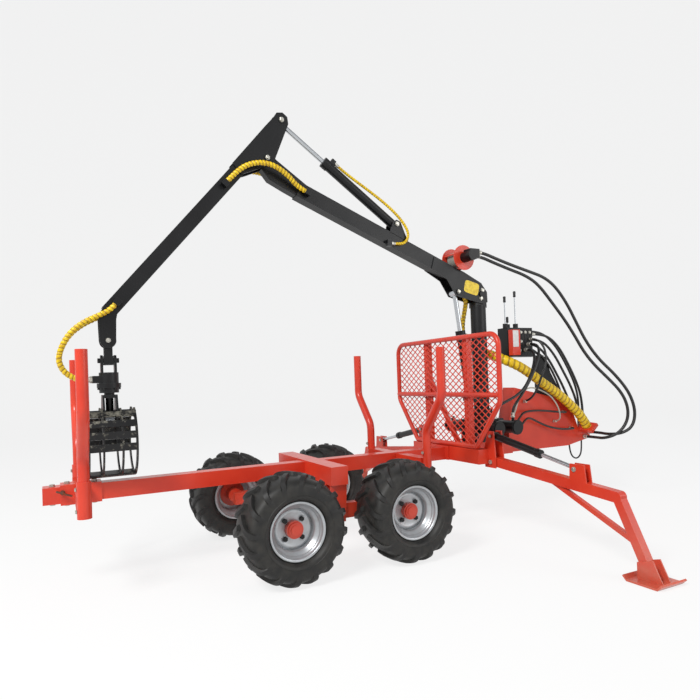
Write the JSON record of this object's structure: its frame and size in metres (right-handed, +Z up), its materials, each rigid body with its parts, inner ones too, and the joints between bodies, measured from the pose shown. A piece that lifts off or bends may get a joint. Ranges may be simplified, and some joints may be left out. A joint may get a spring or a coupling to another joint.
{
  "type": "log trailer with crane",
  "caption": "Small forestry log trailer with a red spine frame, bogie wheels, outriggers and a black loading crane with a rotating log grapple.",
  "frame": {"origin": "on the ground, under the middle of the overall length and width", "axes": "+X forward to the tow eye, +Y left, +Z up"},
  "size_m": [4.6399, 3.718, 3.11],
  "materials": {
    "red_paint": "gloss",
    "black_paint": "satin",
    "silver_paint": "satin",
    "chrome_rod": "polished",
    "bare_steel": "brushed",
    "tyre_rubber": "matte",
    "hose_rubber": "matte",
    "yellow_guard": "satin",
    "lever_grip": "matte"
  },
  "bodies": {
    "frame": {"spine": "red_paint", "rear_bunk": "red_paint", "rear_stakes": "red_paint", "front_bunk": "red_paint", "bogie_crossbeam": "red_paint", "bogie_beam_left": "red_paint", "bogie_beam_right": "red_paint", "headboard_frame": "red_paint", "headboard_mesh": "red_paint", "front_beam": "red_paint", "crane_base": "red_paint", "drawbar": "red_paint", "slew_unit": "black_paint", "valve_stand": "red_paint", "valve_block": "black_paint", "valve_levers": "lever_grip", "valve_hoses": "hose_rubber", "winch_hoses_lower": "hose_rubber", "trunk_hose": "yellow_guard"},
    "wheel_rear_right": {"tyre_rear_right": "tyre_rubber", "rim_rear_right": "silver_paint", "hub_rear_right": "red_paint"},
    "wheel_rear_left": {"tyre_rear_left": "tyre_rubber", "rim_rear_left": "silver_paint", "hub_rear_left": "red_paint"},
    "wheel_front_right": {"tyre_front_right": "tyre_rubber", "rim_front_right": "silver_paint", "hub_front_right": "red_paint"},
    "wheel_front_left": {"tyre_front_left": "tyre_rubber", "rim_front_left": "silver_paint", "hub_front_left": "red_paint"},
    "outrigger_left_arm": {"outrigger_left": "red_paint"},
    "outrigger_left_cylinder": {"outrigger_barrel_left": "black_paint"},
    "outrigger_left_piston": {"outrigger_rod_left": "chrome_rod"},
    "outrigger_right_arm": {"outrigger_right": "red_paint"},
    "outrigger_right_cylinder": {"outrigger_barrel_right": "black_paint"},
    "outrigger_right_piston": {"outrigger_rod_right": "chrome_rod"},
    "crane_column": {"column": "black_paint", "winch_hoses_upper": "hose_rubber"},
    "crane_boom": {"boom": "black_paint", "winch_frame": "red_paint", "winch_motor": "black_paint", "column_hose": "yellow_guard", "stick_hose": "yellow_guard"},
    "lift_cylinder": {"lift_barrel": "black_paint"},
    "lift_piston": {"lift_rod": "chrome_rod"},
    "drum": {"winch_drum": "bare_steel"},
    "crane_stick": {"stick": "black_paint", "elbow_hoses": "yellow_guard", "grapple_hoses_upper": "yellow_guard"},
    "stick_cylinder": {"stick_barrel": "black_paint"},
    "stick_piston": {"stick_rod": "chrome_rod"},
    "hanger": {"tip_link": "black_paint", "grapple_hoses_lower": "yellow_guard"},
    "rotator_body": {"rotator": "black_paint"},
    "grapple_neck": {"grapple_frame": "black_paint", "grapple_barrel": "black_paint"},
    "grapple_piston": {"grapple_rod": "chrome_rod"},
    "left_jaw": {"jaw_left": "black_paint"},
    "right_jaw": {"jaw_right": "black_paint"}
  },
  "joints": [
    {"name": "wheel_rear_right_spin", "type": "hinge", "parent": "frame", "child": "wheel_rear_right", "pos_m": [-1.0105, -0.628, 0.33], "axis": [0, 1, 0], "continuous": true},
    {"name": "wheel_rear_left_spin", "type": "hinge", "parent": "frame", "child": "wheel_rear_left", "pos_m": [-1.0105, 0.628, 0.33], "axis": [0, 1, 0], "continuous": true},
    {"name": "wheel_front_right_spin", "type": "hinge", "parent": "frame", "child": "wheel_front_right", "pos_m": [-0.2055, -0.628, 0.33], "axis": [0, 1, 0], "continuous": true},
    {"name": "wheel_front_left_spin", "type": "hinge", "parent": "frame", "child": "wheel_front_left", "pos_m": [-0.2055, 0.628, 0.33], "axis": [0, 1, 0], "continuous": true},
    {"name": "outrigger_left_swing", "type": "hinge", "parent": "frame", "child": "outrigger_left_arm", "pos_m": [0.724, 0.463, 0.54], "axis": [1, 0, 0], "range_deg": [0, 70]},
    {"name": "outrigger_left_cylinder_swing", "type": "hinge", "parent": "frame", "child": "outrigger_left_cylinder", "pos_m": [0.724, 0.463, 0.733], "axis": [1, 0, 0], "range_deg": [0, 79.14]},
    {"name": "outrigger_left_rod_slide", "type": "slide", "parent": "outrigger_left_cylinder", "child": "outrigger_left_piston", "axis": [0, 0.9793, -0.2025], "range_m": [-0.1977, 0]},
    {"name": "outrigger_right_swing", "type": "hinge", "parent": "frame", "child": "outrigger_right_arm", "pos_m": [0.724, -0.463, 0.54], "axis": [1, 0, 0], "range_deg": [-70, 0]},
    {"name": "outrigger_right_cylinder_swing", "type": "hinge", "parent": "frame", "child": "outrigger_right_cylinder", "pos_m": [0.724, -0.463, 0.733], "axis": [1, 0, 0], "range_deg": [-79.14, 0]},
    {"name": "outrigger_right_rod_slide", "type": "slide", "parent": "outrigger_right_cylinder", "child": "outrigger_right_piston", "axis": [0, -0.9793, -0.2025], "range_m": [-0.1977, 0]},
    {"name": "slew", "type": "hinge", "parent": "frame", "child": "crane_column", "pos_m": [0.992, 0, 0.89], "axis": [0, 0, 1], "range_deg": [-120, 120], "deforming": ["trunk_hose", "winch_hoses_lower"]},
    {"name": "boom_lift", "type": "hinge", "parent": "crane_column", "child": "crane_boom", "pos_m": [0.992, 0, 1.88], "axis": [0, 1, 0], "range_deg": [0, 46], "deforming": ["column_hose", "winch_hoses_upper"]},
    {"name": "lift_cylinder_swing", "type": "hinge", "parent": "crane_column", "child": "lift_cylinder", "pos_m": [0.872, 0, 1.02], "axis": [0, 1, 0], "range_deg": [0, 6.18]},
    {"name": "lift_rod_slide", "type": "slide", "parent": "lift_cylinder", "child": "lift_piston", "axis": [-0.1406, 0, 0.9901], "range_m": [0, 0.16456]},
    {"name": "drum_turn", "type": "hinge", "parent": "crane_boom", "child": "drum", "pos_m": [0.797, 0, 2.172], "axis": [0, 1, 0], "continuous": true},
    {"name": "stick_swing", "type": "hinge", "parent": "crane_boom", "child": "crane_stick", "pos_m": [-0.87, 0, 2.77], "axis": [0, 1, 0], "range_deg": [0, 59], "deforming": ["elbow_hoses"]},
    {"name": "stick_cylinder_swing", "type": "hinge", "parent": "crane_boom", "child": "stick_cylinder", "pos_m": [0.176, 0, 2.401], "axis": [0, 1, 0], "range_deg": [-5.97, 0], "deforming": ["stick_hose"]},
    {"name": "stick_rod_slide", "type": "slide", "parent": "stick_cylinder", "child": "stick_piston", "axis": [-0.8182, 0, 0.575], "range_m": [-0.2881, 0]},
    {"name": "hanger_swing", "type": "hinge", "parent": "crane_stick", "child": "hanger", "pos_m": [-1.938, 0, 1.49], "axis": [0, -1, 0], "range_deg": [-60, 100], "deforming": ["grapple_hoses_upper"]},
    {"name": "hanger_tilt", "type": "hinge", "parent": "hanger", "child": "rotator_body", "pos_m": [-1.938, 0, 1.368], "axis": [1, 0, 0], "range_deg": [-45, 45], "deforming": ["grapple_hoses_lower"]},
    {"name": "grapple_turn", "type": "hinge", "parent": "rotator_body", "child": "grapple_neck", "pos_m": [-1.938, 0, 1.168], "axis": [0, 0, 1], "continuous": true},
    {"name": "left_jaw_open", "type": "hinge", "parent": "grapple_neck", "child": "left_jaw", "pos_m": [-1.938, 0.072, 1.044], "axis": [1, 0, 0], "range_deg": [0, 50]},
    {"name": "right_jaw_open", "type": "hinge", "parent": "grapple_neck", "child": "right_jaw", "pos_m": [-1.938, -0.072, 1.044], "axis": [1, 0, 0], "range_deg": [-50.1, 0]},
    {"name": "grapple_rod_slide", "type": "slide", "parent": "grapple_neck", "child": "grapple_piston", "axis": [0, 0, 1], "range_m": [0, 0.0305]}
  ],
  "couplings": [
    {"joint": "outrigger_left_cylinder_swing", "follows": "outrigger_left_swing", "ratio": 1.1234},
    {"joint": "outrigger_left_rod_slide", "follows": "outrigger_left_swing", "m_per_rad": -0.161},
    {"joint": "outrigger_right_cylinder_swing", "follows": "outrigger_right_swing", "ratio": 1.1234},
    {"joint": "outrigger_right_rod_slide", "follows": "outrigger_right_swing", "m_per_rad": 0.161},
    {"joint": "lift_cylinder_swing", "follows": "boom_lift", "ratio": 0.1279},
    {"joint": "lift_rod_slide", "follows": "boom_lift", "m_per_rad": 0.20372},
    {"joint": "stick_cylinder_swing", "follows": "stick_swing", "ratio": -0.09619},
    {"joint": "stick_rod_slide", "follows": "stick_swing", "m_per_rad": -0.27881},
    {"joint": "right_jaw_open", "follows": "left_jaw_open", "ratio": -1},
    {"joint": "grapple_rod_slide", "follows": "left_jaw_open", "m_per_rad": 0.03438}
  ]
}
